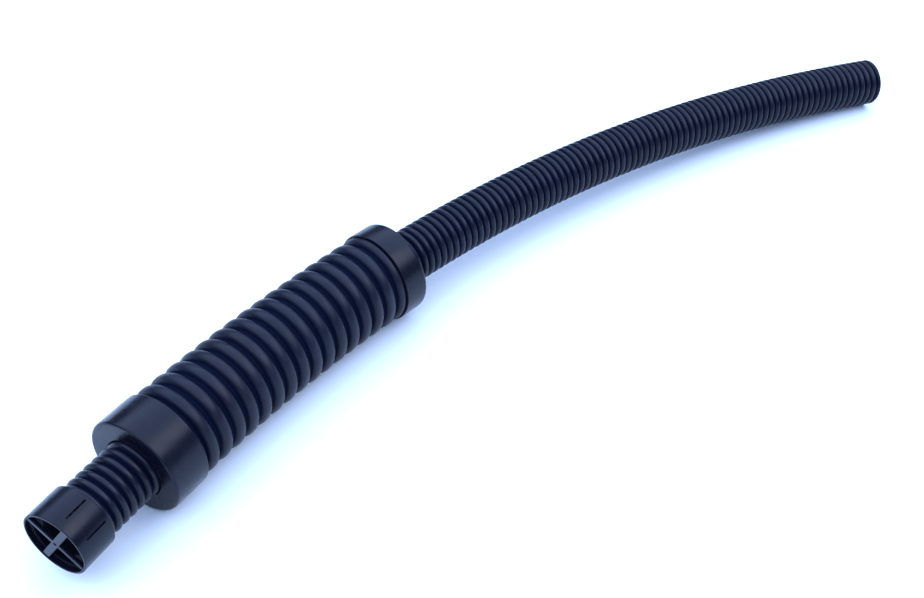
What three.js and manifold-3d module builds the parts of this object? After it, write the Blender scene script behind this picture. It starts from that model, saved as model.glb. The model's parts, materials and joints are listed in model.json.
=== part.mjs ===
// Pool vacuum hose: a thin corrugated suction hose that runs through a wider corrugated sleeve.
// Millimetres, +Z up, the sleeve's two collars and the hose's cut end stand on z = 0.
// Origin: middle of the bounding box in plan, at table level.
import * as THREE from 'three';
import { mergeVertices } from 'three/addons/utils/BufferGeometryUtils.js';
import Module from 'manifold-3d';

// ---------- driving dimensions ----------
const hoseRadius = 19;              // over the ridges, a 38 mm hose
const hoseBore = 16;                // 32 mm bore
const totalLength = 782;            // nozzle lip to cut end, along the centre line
const bendRadius = 1110;            // natural set of the coiled hose, in plan
const collarRadius = 1.69 * hoseRadius;
const bellowsRadius = 1.625 * hoseRadius;
const nozzleRadius = 1.11 * hoseRadius;
const nozzleLength = 23;
const nearCollar = { from: 61.2, to: 87.6 };
const farCollar = { from: 272.4, to: 291.2 };
const grooveCount = 16;
const groovePitch = 11.64;
const firstGroove = 90.6;
const grooveDepth = 3;
const grooveTop = 3.6;              // groove width at the ridge tops
const grooveFloor = 1.6;
const gap = 0.3;                    // air between neighbouring pieces
const slideGap = 0.8;               // running clearance of the sleeve on the hose
const wiperGap = 0.45;
const hoseSides = 12;
const hoseSteps = 72;
const roundSides = 28;
const cuffSides = 32;
const edgeSteps = 3;                // chords in each rounded edge

// ---------- the common centre line ----------
const sleeveEnd = farCollar.to;
const freeLength = totalLength - sleeveEnd;

// Height of the centre line: level through the sleeve, then sagging down to the table.
function axisHeight(station) {
  const beyond = Math.max(0, station - sleeveEnd) / freeLength;
  return collarRadius - (collarRadius - hoseRadius) * beyond * beyond;
}

function planAngle(station) {
  return (station - totalLength / 2) / bendRadius;
}

class CentreLine extends THREE.Curve {
  constructor(from, to) {
    super();
    this.from = from;
    this.to = to;
  }

  getPoint(t, target = new THREE.Vector3()) {
    const station = this.from + (this.to - this.from) * t;
    const angle = planAngle(station);
    return target.set(
      bendRadius * Math.sin(angle),
      bendRadius * Math.cos(angle),
      axisHeight(station),
    );
  }
}

// Local frame of every turned piece: x = right of the hose, y = station along it, z = up.
function bendOntoCentreLine(geometry) {
  const p = geometry.attributes.position;
  for (let i = 0; i < p.count; i += 1) {
    const angle = planAngle(p.getY(i));
    const reach = bendRadius - p.getX(i);
    p.setXYZ(i, reach * Math.sin(angle), reach * Math.cos(angle), p.getZ(i) + collarRadius);
  }
  geometry.computeVertexNormals();
  return geometry;
}

// Stiff pieces at the nozzle stay straight, along the tangent at the nozzle's middle.
function seatOnNozzleAxis(geometry) {
  const middle = nozzleLength / 2;
  const angle = planAngle(middle);
  geometry.translate(0, -middle, 0);
  geometry.rotateZ(-Math.PI / 2 - angle);
  geometry.translate(
    bendRadius * Math.sin(angle),
    bendRadius * Math.cos(angle),
    axisHeight(middle),
  );
  return geometry;
}

// ---------- builders ----------
// Profile points are [radius, station], listed so that the closed outline turns into a solid ring.
function turned(points, sides = roundSides) {
  const outline = points.map(([radius, station]) => new THREE.Vector2(radius, station));
  outline.push(outline[0].clone());
  return new THREE.LatheGeometry(outline, sides);
}

function ring(inner, outer, from, to) {
  return turned([[inner, from], [outer, from], [outer, to], [inner, to]]);
}

// Rounded edge of a turned piece, from its end face (at `face`) out to its cylinder.
function roundedEdge(radius, edge, face, out) {
  const points = [];
  for (let i = 0; i <= edgeSteps; i += 1) {
    const turn = (Math.PI / 2) * (i / edgeSteps);
    points.push([
      radius - edge + edge * Math.sin(turn),
      face + out * edge * (1 - Math.cos(turn)),
    ]);
  }
  return points;
}

function circleOutline(target, radius, sides) {
  for (let i = 0; i < sides; i += 1) {
    const angle = (2 * Math.PI * i) / sides;
    const point = [radius * Math.cos(angle), radius * Math.sin(angle)];
    if (i === 0) target.moveTo(...point);
    else target.lineTo(...point);
  }
  target.closePath();
  return target;
}

function suctionHose() {
  const section = circleOutline(new THREE.Shape(), hoseRadius, hoseSides);
  section.holes.push(circleOutline(new THREE.Path(), hoseBore, hoseSides));
  return new THREE.ExtrudeGeometry(section, {
    steps: hoseSteps,
    bevelEnabled: false,
    extrudePath: new CentreLine(hoseFrom, totalLength),
  });
}

// ---------- nozzle ----------
const hoseFrom = 9.6;               // the hose butts on the liner's flange inside the nozzle
const mouthRadius = 1.04 * hoseRadius;
const seatDepth = 3.4;              // the strainer's seat, a wider bore behind the lip
const shoulderBore = 0.97 * hoseRadius;
const mouthDepth = 6;
const strainerFrom = 0.5;
const strainerThickness = 2.6;
const strainerPhase = 36;           // degrees from upright, turned to the right of the hose
const strainerArms = [
  { width: 4.5, turn: 0 },
  { width: 2.6, turn: Math.PI / 2 },
];
const pinRadius = 1.1;
const cuffFit = 0.5;                // the cuff turns on the hose with this much play
const lipRadius = 0.5;
const shoulderStep = 0.5;
const shoulderLength = 0.8;
const slotLength = 14.4;
const slotWidth = 1.1;
const slotMiddle = 13.6;
const slotCut = 6;                  // how deep a slot's cutter reaches across the wall
const slotAngles = [22.7, 65.8, 202.7, 245.8];
const linerBore = 13.5;
const linerRadius = hoseBore - 0.9;
const linerReach = nozzleLength + 3;
const flangeRadius = hoseRadius + 0.1;
const flangeFront = mouthDepth + 1.6;
const sealBack = flangeFront - gap;

function toManifold(wasm, geometry) {
  const bare = geometry.clone();
  bare.deleteAttribute('normal');
  bare.deleteAttribute('uv');
  const merged = mergeVertices(bare, 1e-4);
  return new wasm.Manifold(new wasm.Mesh({
    numProp: 3,
    vertProperties: new Float32Array(merged.attributes.position.array),
    triVerts: new Uint32Array(merged.index.array),
  }));
}

function fromManifold(solid) {
  const mesh = solid.getMesh();
  const geometry = new THREE.BufferGeometry();
  geometry.setAttribute('position', new THREE.BufferAttribute(mesh.vertProperties.slice(), 3));
  geometry.setIndex(new THREE.BufferAttribute(mesh.triVerts.slice(), 1));
  geometry.computeVertexNormals();
  return geometry;
}

// Clip-on cuff: a thin lip round the strainer's seat, an inner shoulder that backs the gasket,
// a step at the rear, and slots that free two clip tongues.
function nozzleCuff(wasm) {
  const bore = hoseRadius + cuffFit;
  const shoulder = nozzleLength - shoulderLength;
  const shell = turned([
    [mouthRadius, 0],
    ...roundedEdge(nozzleRadius, lipRadius, 0, 1),
    [nozzleRadius, shoulder - shoulderStep],
    [nozzleRadius - shoulderStep, shoulder],
    [nozzleRadius - shoulderStep, nozzleLength],
    [bore, nozzleLength],
    [bore, mouthDepth],
    [shoulderBore, mouthDepth],
    [shoulderBore, seatDepth],
    [mouthRadius, seatDepth],
  ], cuffSides);
  let solid = toManifold(wasm, shell);
  for (const degrees of slotAngles) {
    const cutter = new THREE.BoxGeometry(slotWidth, slotLength, slotCut);
    cutter.translate(0, slotMiddle, nozzleRadius);
    cutter.rotateY(THREE.MathUtils.degToRad(degrees));
    solid = solid.subtract(toManifold(wasm, cutter));
  }
  return fromManifold(solid);
}

// Cross in the mouth: a broad and a narrow arm, ends rounded to the seat, a pin hole in the hub.
function strainerCross(wasm) {
  const reach = mouthRadius - gap;
  const middle = strainerThickness / 2;
  const arms = strainerArms.map(({ width, turn }) => {
    const arm = new THREE.BoxGeometry(width, strainerThickness, 2 * mouthRadius);
    arm.translate(0, middle, 0);
    arm.rotateY(turn);
    return toManifold(wasm, arm);
  });
  const disc = new THREE.CylinderGeometry(reach, reach, 2 * strainerThickness, cuffSides);
  disc.translate(0, middle, 0);
  const solid = arms[0].add(arms[1]).intersect(toManifold(wasm, disc));
  const pin = new THREE.CylinderGeometry(pinRadius, pinRadius, 2 * strainerThickness, hoseSides);
  pin.translate(0, middle, 0);
  const cross = fromManifold(solid.subtract(toManifold(wasm, pin)));
  cross.rotateY(THREE.MathUtils.degToRad(strainerPhase));
  cross.translate(0, strainerFrom, 0);
  return cross;
}

// Flat gasket between the cuff's shoulder and the liner's flange.
function nozzleSeal() {
  return ring(linerBore, flangeRadius, mouthDepth + gap, sealBack);
}

// Rigid liner that keeps the hose round where the cuff grips it.
function nozzleLiner() {
  const flangeBack = hoseFrom - gap;
  return turned([
    [linerBore, flangeFront],
    [flangeRadius, flangeFront],
    [flangeRadius, flangeBack],
    [linerRadius, flangeBack],
    [linerRadius, linerReach],
    [linerBore, linerReach],
  ]);
}

// ---------- sleeve ----------
const collarBore = 27.5;
const collarWall = 4;
const cuffRadius = collarBore - gap;
const cuffBore = 24.8;
const cuffReach = 11;               // how far the bellows' plain cuffs reach into the collars
const nearEdge = 2;
const farEdge = 2.4;
const openEdge = 0.5;
const wiperThickness = 2;
const nearBush = 12;
const farBush = 6;
const retainerThickness = 1.6;
const retainerBore = hoseRadius + 2;
const boreSteps = 14;               // chords of the bellows' bore along the bend
const lastGroove = 0.6;             // half groove against the far collar

// Smooth collar: closed at `face` round the hose, open at `open` round the bellows' cuff.
function collar(face, open, edge) {
  const out = Math.sign(open - face);
  const mouth = hoseRadius + slideGap + gap;
  const points = [
    [mouth, face],
    ...roundedEdge(collarRadius, edge, face, out),
    [collarRadius, open - out * openEdge],
    [collarRadius - openEdge, open],
    [collarBore, open],
    [collarBore, face + out * collarWall],
    [mouth, face + out * collarWall],
  ];
  return out > 0 ? turned(points) : turned(points.reverse());
}

// A ring inside a collar: `depth` behind the closed face, which looks away from `out`.
function innerRing(inner, outer, face, out, depth, length) {
  const from = face + out * depth;
  const to = from + out * length;
  return ring(inner, outer, Math.min(from, to), Math.max(from, to));
}

// Soft lip that wipes the hose just behind the collar's closed face.
function wiper(face, out) {
  const depth = collarWall + gap;
  return innerRing(hoseRadius + wiperGap, cuffRadius, face, out, depth, wiperThickness);
}

// Guide bush the sleeve slides on; it also backs up the bellows' cuff.
function guideBush(face, out, length) {
  const depth = collarWall + wiperThickness + 2 * gap;
  return innerRing(hoseRadius + slideGap, cuffBore - gap, face, out, depth, length);
}

// Spring ring that keeps the bush in.
function retainingRing(face, out, bushLength) {
  const depth = collarWall + wiperThickness + bushLength + 3 * gap;
  return innerRing(retainerBore, cuffBore - gap, face, out, depth, retainerThickness);
}

// Corrugated tube: ridges with flat tops and narrow grooves, plain cuffs at both ends.
function sleeveBellows() {
  const from = nearCollar.to + gap;
  const to = farCollar.from - gap;
  const floor = bellowsRadius - grooveDepth;
  const length = to - from + 2 * cuffReach;
  const inner = [];
  for (let i = 0; i <= boreSteps; i += 1) {
    inner.push([cuffBore, from - cuffReach + (length * i) / boreSteps]);
  }
  const outer = [[cuffRadius, from - cuffReach], [cuffRadius, from], [floor, from]];
  for (let i = 0; i < grooveCount; i += 1) {
    const groove = firstGroove + groovePitch * i;
    if (i > 0) outer.push([bellowsRadius, groove - grooveTop / 2]);
    if (i > 0) outer.push([floor, groove - grooveFloor / 2]);
    outer.push([floor, groove + grooveFloor / 2]);
    outer.push([bellowsRadius, groove + grooveTop / 2]);
  }
  const flank = (grooveTop - grooveFloor) / 2;
  outer.push([bellowsRadius, to - flank - lastGroove]);
  outer.push([floor, to - lastGroove]);
  outer.push([floor, to]);
  outer.push([cuffRadius, to]);
  outer.push([cuffRadius, to + cuffReach]);
  return turned([...outer, ...inner.reverse()]);
}

// ---------- assembly ----------
const colours = {
  hose: { color: 0x1b1d2b, roughness: 0.55 },
  bellows: { color: 0x1d1f2c, roughness: 0.6 },
  shell: { color: 0x20222f, roughness: 0.38 },
  rubber: { color: 0x111217, roughness: 0.85 },
  acetal: { color: 0x3a3d49, roughness: 0.5 },
};

function piece(name, geometry, colour) {
  const material = new THREE.MeshStandardMaterial({ ...colours[colour], metalness: 0 });
  const mesh = new THREE.Mesh(geometry, material);
  mesh.name = name;
  return mesh;
}

const wasm = await Module();
wasm.setup();

const group = new THREE.Group();
group.name = 'pool_vacuum_hose';
group.add(
  piece('suction_hose', suctionHose(), 'hose'),
  piece('nozzle_cuff', seatOnNozzleAxis(nozzleCuff(wasm)), 'shell'),
  piece('strainer_cross', seatOnNozzleAxis(strainerCross(wasm)), 'shell'),
  piece('nozzle_seal', seatOnNozzleAxis(nozzleSeal()), 'rubber'),
  piece('nozzle_liner', seatOnNozzleAxis(nozzleLiner()), 'acetal'),
  piece('sleeve_bellows', bendOntoCentreLine(sleeveBellows()), 'bellows'),
);

// Each end of the sleeve: where its closed face is, where it opens, and its way along the hose.
const sleeveEnds = [
  { name: 'near', face: nearCollar.from, open: nearCollar.to, out: 1, edge: nearEdge, bush: nearBush },
  { name: 'far', face: farCollar.to, open: farCollar.from, out: -1, edge: farEdge, bush: farBush },
];
for (const { name, face, open, out, edge, bush } of sleeveEnds) {
  const parts = {
    collar: [collar(face, open, edge), 'shell'],
    wiper: [wiper(face, out), 'rubber'],
    bush: [guideBush(face, out, bush), 'acetal'],
    retaining_ring: [retainingRing(face, out, bush), 'acetal'],
  };
  for (const [kind, [geometry, colour]] of Object.entries(parts)) {
    group.add(piece(`${name}_${kind}`, bendOntoCentreLine(geometry), colour));
  }
}

// Move everything so that the origin is the middle of the box in plan, at table level.
const box = new THREE.Box3().setFromObject(group);
const middle = box.getCenter(new THREE.Vector3());
for (const mesh of group.children) {
  mesh.geometry.translate(-middle.x, -middle.y, -box.min.z);
}

export default group;
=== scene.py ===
"""A pool vacuum hose with a slotted nozzle and a ribbed sleeve, lying on a pale table."""
import json
import math

import bpy
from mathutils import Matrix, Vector


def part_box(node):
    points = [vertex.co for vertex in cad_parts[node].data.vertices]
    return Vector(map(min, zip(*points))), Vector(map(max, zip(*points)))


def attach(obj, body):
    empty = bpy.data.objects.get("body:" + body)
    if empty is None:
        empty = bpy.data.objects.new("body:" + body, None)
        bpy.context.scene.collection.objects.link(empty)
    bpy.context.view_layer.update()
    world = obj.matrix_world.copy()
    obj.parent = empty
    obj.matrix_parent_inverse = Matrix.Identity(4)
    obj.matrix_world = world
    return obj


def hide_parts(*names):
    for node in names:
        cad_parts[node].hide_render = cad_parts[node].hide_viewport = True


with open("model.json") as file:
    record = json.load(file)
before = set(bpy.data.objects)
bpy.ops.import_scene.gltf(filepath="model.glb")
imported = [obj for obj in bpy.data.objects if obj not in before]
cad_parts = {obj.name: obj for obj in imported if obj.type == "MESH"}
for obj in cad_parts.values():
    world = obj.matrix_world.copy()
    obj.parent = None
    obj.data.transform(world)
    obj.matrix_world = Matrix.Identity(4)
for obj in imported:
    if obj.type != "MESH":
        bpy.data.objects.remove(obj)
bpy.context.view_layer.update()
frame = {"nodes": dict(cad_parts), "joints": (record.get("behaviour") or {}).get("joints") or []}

MM = 0.001
air = 0.3 * MM  # left between a piece and its neighbour
soft_edge = 0.3 * MM  # how far a corner is cut back to round it

# ---------- what the frame says ----------
joints = {joint["name"]: joint for joint in frame["joints"]}
bend_centre = Vector(joints["sleeve_slide"]["pos_m"])
nozzle_seat = Vector(joints["nozzle_swivel"]["pos_m"])
nozzle_axis = Vector(joints["nozzle_swivel"]["axis"]).normalized()
bend_radius = (nozzle_seat - bend_centre).to_2d().length
collar_radius = (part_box("near_collar")[1].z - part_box("near_collar")[0].z) / 2
collar_to_hose = 1.69  # measured in the photograph
hose_radius = collar_radius / collar_to_hose

# Stations run along the centre line from the nozzle's lip, which is 0.
nozzle_length = 23 * MM
seat_angle = math.atan2(nozzle_seat.x - bend_centre.x, nozzle_seat.y - bend_centre.y)
total_length = 2 * (nozzle_length / 2 - bend_radius * seat_angle)


def station_of(point):
    angle = math.atan2(point.x - bend_centre.x, point.y - bend_centre.y)
    return total_length / 2 + bend_radius * angle


def bend_angle(station):
    """Where a station lies round the bend; the middle of the centre line is 0."""
    return (station - total_length / 2) / bend_radius


def span(node):
    """First and last station of a CAD node that follows the bend."""
    stations = [station_of(vertex.co) for vertex in frame["nodes"][node].data.vertices]
    return min(stations), max(stations)


near_front, near_back = span("near_collar")
far_front, far_back = span("far_collar")
hose_start = span("suction_hose")[0]
hose_end = total_length


# ---------- the centre line ----------
sag_length = total_length - far_back
sag_drop = collar_radius - hose_radius


def sag_share(station):
    """0 as far as the sleeve's far end, and 1 at the cut end."""
    return max(0.0, station - far_back) / sag_length


def axis_height(station):
    """Level through the sleeve, then sagging until the cut end rests on the table."""
    return collar_radius - sag_drop * sag_share(station) ** 2


def axis_slope(station):
    return -2 * sag_drop * sag_share(station) / sag_length


def axis_point(station):
    angle = bend_angle(station)
    flat = Vector((math.sin(angle), math.cos(angle), 0)) * bend_radius
    return Vector((bend_centre.x, bend_centre.y, axis_height(station))) + flat


def on_hose(right, station, up):
    """A point beside the hose's own centre line, which sags beyond the sleeve."""
    angle = bend_angle(station)
    along = Vector((math.cos(angle), -math.sin(angle), axis_slope(station))).normalized()
    side = along.cross(Vector((0, 0, 1))).normalized()
    return axis_point(station) + side * right + side.cross(along) * up


def on_sleeve(right, station, up):
    """A point of the sleeve, which keeps level along the bend."""
    angle = bend_angle(station)
    reach = bend_radius - right
    return Vector((
        bend_centre.x + reach * math.sin(angle),
        bend_centre.y + reach * math.cos(angle),
        collar_radius + up,
    ))


def on_nozzle(right, station, up):
    """A point of the nozzle, which is straight."""
    side = nozzle_axis.cross(Vector((0, 0, 1)))
    along = nozzle_axis * (station - nozzle_length / 2)
    return nozzle_seat + along + side * right + Vector((0, 0, up))


# ---------- camera ----------
# Fitted to the photograph. The lens is in millimetres and the place in metres; the tilt is in
# degrees up from straight down, and the turn in degrees round from facing +Y.
camera_lens = 44.43
camera_place = (-0.4748, -0.4609, 0.5178)
camera_tilt = 49.91
camera_turn = -42.0


def make_camera():
    data = bpy.data.cameras.new("camera")
    data.lens = camera_lens
    data.clip_start = 0.01
    camera = bpy.data.objects.new("camera", data)
    camera.location = camera_place
    camera.rotation_euler = (math.radians(camera_tilt), 0, math.radians(camera_turn))
    bpy.context.scene.collection.objects.link(camera)
    bpy.context.scene.camera = camera


make_camera()


# ---------- materials ----------
def new_material(name):
    material = bpy.data.materials.new(name)
    material.use_nodes = True
    shader = material.node_tree.nodes["Principled BSDF"]
    return material, material.node_tree, shader


def add_node(tree, kind, **values):
    """A node with its input sockets set by name."""
    node = tree.nodes.new(kind)
    for name, value in values.items():
        node.inputs[name.replace("_", " ")].default_value = value
    return node


def noise(tree, scale, detail=3.0):
    """Cloudy noise fixed to the piece; a bigger scale gives smaller clouds."""
    node = add_node(tree, "ShaderNodeTexNoise", Scale=scale, Detail=detail, Roughness=0.55)
    where = tree.nodes.new("ShaderNodeTexCoord")
    tree.links.new(where.outputs["Object"], node.inputs["Vector"])
    return node.outputs["Fac"]


def ranged(tree, value, low, high, to_low, to_high):
    node = add_node(
        tree, "ShaderNodeMapRange",
        From_Min=low, From_Max=high, To_Min=to_low, To_Max=to_high,
    )
    tree.links.new(value, node.inputs["Value"])
    return node.outputs["Result"]


def product(tree, first, second):
    node = tree.nodes.new("ShaderNodeMath")
    node.operation = "MULTIPLY"
    for socket, value in zip(node.inputs, (first, second)):
        tree.links.new(value, socket)
    return node.outputs["Value"]


def blended(tree, amount, first, second):
    """A mix of two colours; either may be a plain colour or a socket."""
    node = tree.nodes.new("ShaderNodeMix")
    node.data_type = "RGBA"
    tree.links.new(amount, node.inputs["Factor"])
    for socket, value in zip(node.inputs[6:8], (first, second)):
        if isinstance(value, tuple):
            socket.default_value = (*value, 1)
        else:
            tree.links.new(value, socket)
    return node.outputs[2]


def attribute(tree, name):
    node = tree.nodes.new("ShaderNodeAttribute")
    node.attribute_name = name
    return node.outputs["Fac"]


def ring_lines(tree):
    """Fine lines that run round a turned piece, about half a millimetre apart."""
    node = add_node(tree, "ShaderNodeTexNoise", Scale=2200.0, Detail=2.0)
    node.noise_dimensions = "1D"
    tree.links.new(attribute(tree, "station"), node.inputs["W"])
    return node.outputs["Fac"]


shine = 0.2
grain_strength = 0.5


def moulded_plastic(name, dark, light, worn, roughness, grain, grain_depth):
    """Black plastic: mottled, rubbed on its crests, grained, with painted shade that darkens its
    grooves and dulls their reflection.
    """
    material, tree, shader = new_material(name)
    crest = attribute(tree, "crest")
    lines = ring_lines(tree)
    rubbed = ranged(tree, crest, 0.8, 1.0, 0.0, 1.0)
    patches = ranged(tree, noise(tree, 45, 5), 0.42, 0.66, 0.0, 1.0)
    mottled = blended(tree, ranged(tree, noise(tree, 22), 0.3, 0.7, 0.0, 1.0), dark, light)
    lined = blended(tree, ranged(tree, lines, 0.45, 0.75, 0.0, 0.5), mottled, worn)
    rubbed_colour = blended(tree, product(tree, rubbed, patches), lined, worn)
    # painted shade: the colour darkens towards the dark colour down into the grooves
    groove_shade = ranged(tree, crest, 0.7, 0.2, 0.0, 1.0)
    shaded = blended(tree, groove_shade, rubbed_colour, dark)
    tree.links.new(shaded, shader.inputs["Base Color"])
    uneven = ranged(tree, noise(tree, 60, 4), 0.3, 0.7, roughness - 0.05, roughness + 0.08)
    tree.links.new(uneven, shader.inputs["Roughness"])
    # painted shade: the grooves reflect less than the crests
    groove_shaded_reflection = ranged(tree, crest, 0.2, 0.7, 0.05 * shine, shine)
    tree.links.new(groove_shaded_reflection, shader.inputs["Specular IOR Level"])
    bump = add_node(tree, "ShaderNodeBump", Strength=grain_strength, Distance=grain_depth)
    tree.links.new(product(tree, noise(tree, grain, 4), lines), bump.inputs["Height"])
    tree.links.new(bump.outputs["Normal"], shader.inputs["Normal"])
    return material


def hose_plastic():
    return moulded_plastic(
        "hose_plastic", (0.002, 0.0038, 0.012), (0.005, 0.004, 0.009), (0.01, 0.011, 0.021),
        0.3, 900, 0.06 * MM,
    )


def bellows_plastic():
    return moulded_plastic(
        "bellows_plastic", (0.0022, 0.0042, 0.0135), (0.005, 0.004, 0.009), (0.01, 0.011, 0.021),
        0.38, 700, 0.12 * MM,
    )


def shell_plastic():
    return moulded_plastic(
        "shell_plastic", (0.0016, 0.003, 0.008), (0.004, 0.0035, 0.008), (0.009, 0.01, 0.019),
        0.26, 1200, 0.01 * MM,
    )


def seal_rubber():
    return moulded_plastic(
        "seal_rubber", (0.002, 0.002, 0.004), (0.004, 0.004, 0.006), (0.008, 0.008, 0.01),
        0.7, 600, 0.05 * MM,
    )


def bearing_plastic():
    return moulded_plastic(
        "bearing_plastic", (0.003, 0.004, 0.008), (0.005, 0.006, 0.011), (0.012, 0.012, 0.02),
        0.42, 800, 0.03 * MM,
    )


def floor_paper():
    material, tree, shader = new_material("floor_paper")
    shade = ranged(tree, noise(tree, 3), 0.3, 0.7, 0.0, 1.0)
    paper = blended(tree, shade, (0.86, 0.9, 0.93), (0.9, 0.93, 0.95))
    tree.links.new(paper, shader.inputs["Base Color"])
    shader.inputs["Roughness"].default_value = 0.8
    return material


# ---------- mesh builders ----------
plain_crest = 0.8  # the crest value of a surface without ridges
sharp_angle = math.radians(38)
ring_sides = 96


def share(value):
    return min(1.0, max(0.0, value))


def rounded(corners, steps):
    """A closed outline of (radius, station) points from (radius, station, cut) corners."""
    outline = []
    for i, (radius, station, cut) in enumerate(corners):
        here = Vector((radius, station))
        if cut == 0:
            outline.append(here)
            continue
        before = Vector(corners[i - 1][:2]) - here
        after = Vector(corners[(i + 1) % len(corners)][:2]) - here
        first = here + before.normalized() * cut
        last = here + after.normalized() * cut
        for k in range(steps + 1):
            t = k / steps
            outline.append(first * (1 - t) ** 2 + here * 2 * t * (1 - t) + last * t**2)
    return outline


def dress(mesh, crests):
    """Smooth shading with sharp edges, and the crest and station values the materials read."""
    mesh.update()
    stations = [station_of(vertex.co) for vertex in mesh.vertices]
    for label, values in (("crest", crests), ("station", stations)):
        layer = mesh.attributes.get(label) or mesh.attributes.new(label, "FLOAT", "POINT")
        layer.data.foreach_set("value", values)
    mesh.shade_smooth()
    mesh.set_sharp_from_angle(angle=sharp_angle)


def new_object(name, vertices, faces, crests, material):
    mesh = bpy.data.meshes.new(name)
    mesh.from_pydata(vertices, [], faces)
    mesh.materials.append(material)
    dress(mesh, crests)
    piece = bpy.data.objects.new(name, mesh)
    bpy.context.scene.collection.objects.link(piece)
    return piece


def turned(name, outline, place, material, sides=128, crest=None):
    """A closed (radius, station) outline turned round the centre line that `place` follows."""
    vertices, crests = [], []
    for radius, station in outline:
        value = crest(radius) if crest else plain_crest
        for k in range(sides):
            angle = 2 * math.pi * k / sides
            vertices.append(place(radius * math.sin(angle), station, radius * math.cos(angle)))
            crests.append(value)
    faces = []
    rows = len(outline)
    for i in range(rows):
        for k in range(sides):
            a, b = i * sides, ((i + 1) % rows) * sides
            n = (k + 1) % sides
            faces.append((a + k, a + n, b + n, b + k))
    return new_object(name, vertices, faces, crests, material)


def ring(name, inner, outer, start, end, place, material, cut=soft_edge):
    corners = [(inner, start, cut), (outer, start, cut), (outer, end, cut), (inner, end, cut)]
    return turned(name, rounded(corners, steps=3), place, material, ring_sides)


def assign(piece, body, slot, *nodes):
    """Makes the piece ride on its body and stand for its CAD nodes, which are hidden; its slot is
    not used.
    """
    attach(piece, body)
    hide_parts(*nodes)


# ---------- the thin hose ----------
ridge_pitch = 0.3216 * hose_radius
ridge_depth = 2.4 * MM
hose_wall = 0.9 * MM
ridge_rows = 12
plain_bore_step = 4 * ridge_rows
seen_bore = 70 * MM
groove_sharpness = 4
hose_sides = 88


def groove_share(station):
    """1 at the bottom of a groove and 0 on the ridges."""
    turn = math.pi * ((station - hose_end) / ridge_pitch + 0.5)
    return math.cos(turn) ** groove_sharpness


def hose_outline():
    """Outside from the nozzle to the cut end, then back along the bore, ridged where it is seen."""
    rows = round((hose_end - hose_start) / ridge_pitch * ridge_rows)
    stations = [hose_start + (hose_end - hose_start) * i / rows for i in range(rows + 1)]
    outside = [(hose_radius - ridge_depth * groove_share(s), s) for s in stations]
    seen = hose_end - seen_bore
    smooth = hose_radius - hose_wall - ridge_depth
    inside = [(smooth, s) for s in stations[::plain_bore_step] if s < seen]
    inside.append((smooth, seen))
    for station in stations[::2]:
        if station > seen:
            depth = hose_wall + ridge_depth * groove_share(station)
            inside.append((hose_radius - depth, station))
    return outside + inside[::-1]


def make_hose(material):
    def crest(radius):
        return share(1 - (hose_radius - radius) / ridge_depth)

    hose = turned("hose", hose_outline(), on_hose, material, hose_sides, crest)
    assign(hose, "hose", "hose_plastic", "suction_hose")


# ---------- the nozzle ----------
nozzle_radius = 1.11 * hose_radius
mouth_radius = 1.04 * hose_radius
seat_depth = 3.4 * MM
shoulder_bore = 0.97 * hose_radius
mouth_depth = 6 * MM
cuff_bore = hose_radius + 0.5 * MM
slot_length = 14.4 * MM
slot_width = 1.1 * MM
slot_middle = 13.6 * MM
seen_slots = (22.7, 65.8)  # degrees round from upright; the hidden two are opposite
slot_angles = [angle + side for side in (0, 180) for angle in seen_slots]
strainer_front = 0.5 * MM
strainer_back = 3.1 * MM
strainer_turn = math.radians(36)
strainer_gap = 0.2 * MM
broad_arm = 4.5 * MM
narrow_arm = 2.6 * MM
narrow_inset = 0.1 * MM
pin_radius = 1.1 * MM
pin_sides = 32
block_rounding = 0.5 * MM
cuff_sides = 160
disc_margin = 1 * MM


def combine(piece, others, operation):
    """Adds the other objects to the piece, cuts them out of it or keeps what they share."""
    for other in others:
        modifier = piece.modifiers.new("combine", "BOOLEAN")
        modifier.operation = operation
        modifier.object = other
        modifier.solver = "EXACT"
    bpy.context.view_layer.update()
    result = piece.evaluated_get(bpy.context.evaluated_depsgraph_get())
    mesh = bpy.data.meshes.new_from_object(result)
    piece.modifiers.clear()
    piece.data = mesh
    dress(mesh, [plain_crest] * len(mesh.vertices))
    for other in others:
        bpy.data.objects.remove(other)


def turned_by(angle, right, up):
    """A point at `up` outwards and `right` sideways, turned round the nozzle from upright."""
    return (
        right * math.cos(angle) + up * math.sin(angle),
        up * math.cos(angle) - right * math.sin(angle),
    )


def block(name, angle, half_width, start, end, low, high, material, cut):
    """A bar across the nozzle's axis: rounded in plan, from low to high along its length."""
    corners = [
        (-half_width, start, cut), (half_width, start, cut),
        (half_width, end, cut), (-half_width, end, cut),
    ]
    outline = rounded(corners, steps=4)
    vertices = []
    for up in (low, high):
        for right, station in outline:
            x, z = turned_by(angle, right, up)
            vertices.append(on_nozzle(x, station, z))
    count = len(outline)
    faces = [tuple(range(count))[::-1], tuple(range(count, 2 * count))]
    faces += [(k, (k + 1) % count, count + (k + 1) % count, count + k) for k in range(count)]
    return new_object(name, vertices, faces, [plain_crest] * len(vertices), material)


def make_cuff(material):
    """A shell with a stepped mouth and four slots, cut from inside its bore to outside it."""
    corners = [
        (mouth_radius, 0, soft_edge),
        (nozzle_radius, 0, 0.6 * MM),
        (nozzle_radius, nozzle_length, 0.7 * MM),
        (cuff_bore, nozzle_length, soft_edge),
        (cuff_bore, mouth_depth, soft_edge),
        (shoulder_bore, mouth_depth, soft_edge),
        (shoulder_bore, seat_depth, soft_edge),
        (mouth_radius, seat_depth, 0.2 * MM),
    ]
    cuff = turned("nozzle_shell", rounded(corners, steps=6), on_nozzle, material, cuff_sides)
    half_length = slot_length / 2
    low = 0.9 * hose_radius
    high = 1.2 * nozzle_radius
    cutters = [
        block(
            "cutter", math.radians(angle), slot_width / 2,
            slot_middle - half_length, slot_middle + half_length,
            low, high, material, block_rounding,
        )
        for angle in slot_angles
    ]
    combine(cuff, cutters, "DIFFERENCE")
    assign(cuff, "nozzle", "shell_plastic", "nozzle_cuff")


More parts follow.
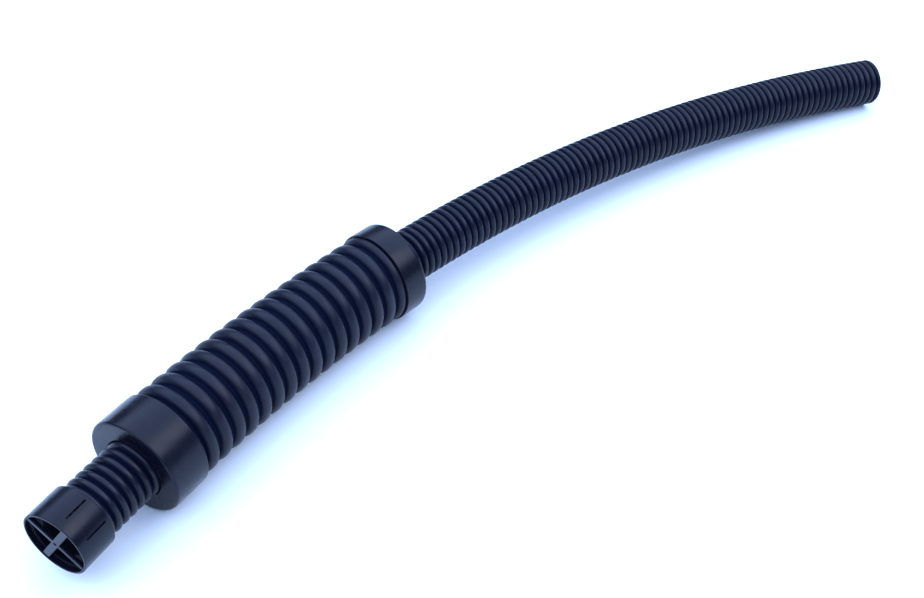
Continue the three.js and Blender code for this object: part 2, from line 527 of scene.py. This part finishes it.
def solid_disc(name, radius, start, end, material, sides=128):
    """A closed disc across the nozzle's axis, with one point in the middle of each face."""
    vertices = []
    for station in (start, end):
        for k in range(sides):
            angle = 2 * math.pi * k / sides
            vertices.append(on_nozzle(radius * math.sin(angle), station, radius * math.cos(angle)))
    front, back = len(vertices), len(vertices) + 1
    vertices += [on_nozzle(0, start, 0), on_nozzle(0, end, 0)]
    faces = []
    for k in range(sides):
        n = (k + 1) % sides
        faces.append((front, n, k))
        faces.append((back, sides + k, sides + n))
        faces.append((k, n, sides + n, sides + k))
    return new_object(name, vertices, faces, [plain_crest] * len(vertices), material)


def make_strainer(material):
    """A broad and a narrow arm, ends rounded to the seat, with a pin hole in the hub."""
    reach = mouth_radius - strainer_gap
    broad, narrow = (
        block(
            name, strainer_turn + turn, width / 2, strainer_front + inset, strainer_back - inset,
            -mouth_radius, mouth_radius, material, block_rounding,
        )
        for name, turn, width, inset in (
            ("strainer", 0, broad_arm, 0), ("arm", math.pi / 2, narrow_arm, narrow_inset),
        )
    )
    combine(broad, [narrow], "UNION")
    disc = solid_disc(
        "disc", reach, strainer_front - disc_margin, strainer_back + disc_margin, material,
    )
    combine(broad, [disc], "INTERSECT")
    pin = solid_disc("pin", pin_radius, 0, mouth_depth, material, sides=pin_sides)
    combine(broad, [pin], "DIFFERENCE")
    assign(broad, "nozzle", "shell_plastic", "strainer_cross")


def make_nozzle_insides(rubber, bearing):
    """The seal behind the mouth, and the flanged liner that carries the hose's end."""
    bore = 13.5 * MM
    wall = 15.1 * MM
    flange = hose_radius + 0.45 * MM
    flange_front = mouth_depth + 1.6 * MM
    flange_back = hose_start - air
    reach = nozzle_length + 3 * MM
    seal = ring(
        "nozzle_gasket", bore, flange, mouth_depth + air, flange_front - air,
        on_nozzle, rubber, 0.2 * MM,
    )
    assign(seal, "nozzle", "seal_rubber", "nozzle_seal")
    corners = [
        (bore, flange_front, soft_edge),
        (flange, flange_front, soft_edge),
        (flange, flange_back, soft_edge),
        (wall, flange_back, 0.2 * MM),
        (wall, reach, 0.4 * MM),
        (bore, reach, 0.4 * MM),
    ]
    liner = turned("hose_liner", rounded(corners, steps=4), on_nozzle, bearing)
    assign(liner, "hose", "bearing_plastic", "nozzle_liner")


# ---------- the sleeve ----------
bellows_radius = 1.625 * hose_radius
groove_count = 16
groove_pitch = 11.64 * MM
first_groove = 90.6 * MM
groove_depth = 3.4 * MM
groove_top = 6.2 * MM
groove_floor = 2 * MM
collar_bore = 27.5 * MM
collar_wall = 4 * MM
cuff_reach = 11 * MM
cuff_wall = 2.4 * MM
sleeve_mouth = hose_radius + 0.6 * MM
near_edge = 2 * MM
far_edge = 2.6 * MM
near_bush_length = 12 * MM
far_bush_length = 6 * MM
bellows_sides = 144
collar_sides = 192


def make_bellows(material):
    """Grooves outside, a plain bore, and at each end a thinner cuff inside the collar."""
    start = near_back + air
    end = far_front - air
    cuff = collar_bore - air
    bore = cuff - cuff_wall
    floor = bellows_radius - groove_depth
    shoulder = 2.2 * MM
    corner = 0.5 * MM
    corners = [(bore, start - cuff_reach, 0), (cuff, start - cuff_reach, soft_edge)]
    corners += [(cuff, start, 0), (floor, start, 0)]
    for i in range(groove_count):
        groove = first_groove + groove_pitch * i
        if i > 0:
            corners.append((bellows_radius, groove - groove_top / 2, shoulder))
            corners.append((floor, groove - groove_floor / 2, corner))
        corners.append((floor, groove + groove_floor / 2, corner))
        corners.append((bellows_radius, groove + groove_top / 2, shoulder))
    corners.append((bellows_radius, end, 1.6 * MM))
    corners += [(cuff, end, 0), (cuff, end + cuff_reach, soft_edge)]
    rows = 24
    length = end - start + 2 * cuff_reach
    corners += [(bore, end + cuff_reach - length * i / rows, 0) for i in range(rows)]

    def crest(radius):
        return share((radius - floor) / groove_depth)

    bellows = turned("bellows", rounded(corners, steps=4), on_sleeve, material, bellows_sides, crest)
    assign(bellows, "sleeve", "bellows_plastic", "sleeve_bellows")


def make_collar(name, face, opening, edge, material, node):
    """Closed at `face` round the hose and open at `opening` round the bellows' cuff."""
    out = math.copysign(1, opening - face)
    wall = face + out * collar_wall
    corners = [
        (sleeve_mouth, face, 0.4 * MM),
        (collar_radius, face, edge),
        (collar_radius, opening, 0.6 * MM),
        (collar_bore, opening, soft_edge),
        (collar_bore, wall, soft_edge),
        (sleeve_mouth, wall, 0.4 * MM),
    ]
    if out < 0:
        corners.reverse()
    collar = turned(name, rounded(corners, steps=8), on_sleeve, material, collar_sides)
    assign(collar, "sleeve", "shell_plastic", node)


def make_sleeve_insides(end, face, out, bush_length, rubber, bearing):
    """A wiper, a bush and a retaining ring, one behind the other from the collar's face."""
    wide = collar_bore - air
    narrow = wide - cuff_wall - air
    depth = collar_wall + air
    rings = [
        ("wiper", 0.45 * MM, wide, 2 * MM, rubber, "seal_rubber"),
        ("bush", 0.8 * MM, narrow, bush_length, bearing, "bearing_plastic"),
        ("retaining_ring", 2 * MM, narrow, 1.6 * MM, bearing, "bearing_plastic"),
    ]
    for kind, play, outer, length, material, slot in rings:
        inner = hose_radius + play
        start = face + out * depth
        stop = start + out * length
        piece = ring(
            f"{end}_{kind}_ring", inner, outer, min(start, stop), max(start, stop),
            on_sleeve, material,
        )
        assign(piece, "sleeve", slot, f"{end}_{kind}")
        depth += length + air


# ---------- floor and light ----------
floor_half = 80.0  # wide enough that little shows beyond it in a low view
floor_drop = 0.2 * MM


def make_floor():
    corners = [(-1, -1), (1, -1), (1, 1), (-1, 1)]
    vertices = [(x * floor_half, y * floor_half, 0) for x, y in corners]
    floor = new_object("floor", vertices, [(0, 1, 2, 3)], [plain_crest] * 4, floor_paper())
    floor.location.z = -floor_drop


def make_sky():
    """A wide blue-white ceiling over dim walls: what the glossy plastic mirrors."""
    world = bpy.data.worlds.new("studio")
    world.use_nodes = True
    tree = world.node_tree
    where = tree.nodes.new("ShaderNodeTexCoord")
    parts = tree.nodes.new("ShaderNodeSeparateXYZ")
    ramp = tree.nodes.new("ShaderNodeValToRGB")
    tree.links.new(where.outputs["Generated"], parts.inputs[0])
    tree.links.new(parts.outputs["Z"], ramp.inputs["Fac"])
    stops = [(0.0, 0.03), (0.42, 0.05), (0.58, 0.95), (0.75, 0.9), (1.0, 0.7)]
    tint = Vector((0.46, 0.62, 1.0))
    while len(ramp.color_ramp.elements) < len(stops):
        ramp.color_ramp.elements.new(0.5)
    for element, (height, brightness) in zip(ramp.color_ramp.elements, stops):
        element.position = height
        element.color = (*(tint * brightness), 1)
    background = tree.nodes["Background"]
    tree.links.new(ramp.outputs["Color"], background.inputs["Color"])
    background.inputs["Strength"].default_value = 4.4
    bpy.context.scene.world = world


def make_window():
    """A soft warm light from high on the viewer's right: the sheen along the collars."""
    data = bpy.data.lights.new("window", "SUN")
    data.energy = 0.5
    data.angle = math.radians(32)
    data.color = (1.0, 0.95, 0.86)
    light = bpy.data.objects.new("window", data)
    light.rotation_euler = (math.radians(42), 0, math.radians(44))
    bpy.context.scene.collection.objects.link(light)


def make_light():
    make_sky()
    make_window()
    bpy.context.scene.view_settings.view_transform = "Standard"


# ---------- build ----------
hose_material = hose_plastic()
bellows_material = bellows_plastic()
shell_material = shell_plastic()
rubber_material = seal_rubber()
bearing_material = bearing_plastic()

make_hose(hose_material)
make_cuff(shell_material)
make_strainer(shell_material)
make_nozzle_insides(rubber_material, bearing_material)
make_bellows(bellows_material)
make_collar("front_collar", near_front, near_back, near_edge, shell_material, "near_collar")
make_collar("rear_collar", far_back, far_front, far_edge, shell_material, "far_collar")
make_sleeve_insides("near", near_front, 1, near_bush_length, rubber_material, bearing_material)
make_sleeve_insides("far", far_back, -1, far_bush_length, rubber_material, bearing_material)
make_floor()
make_light()
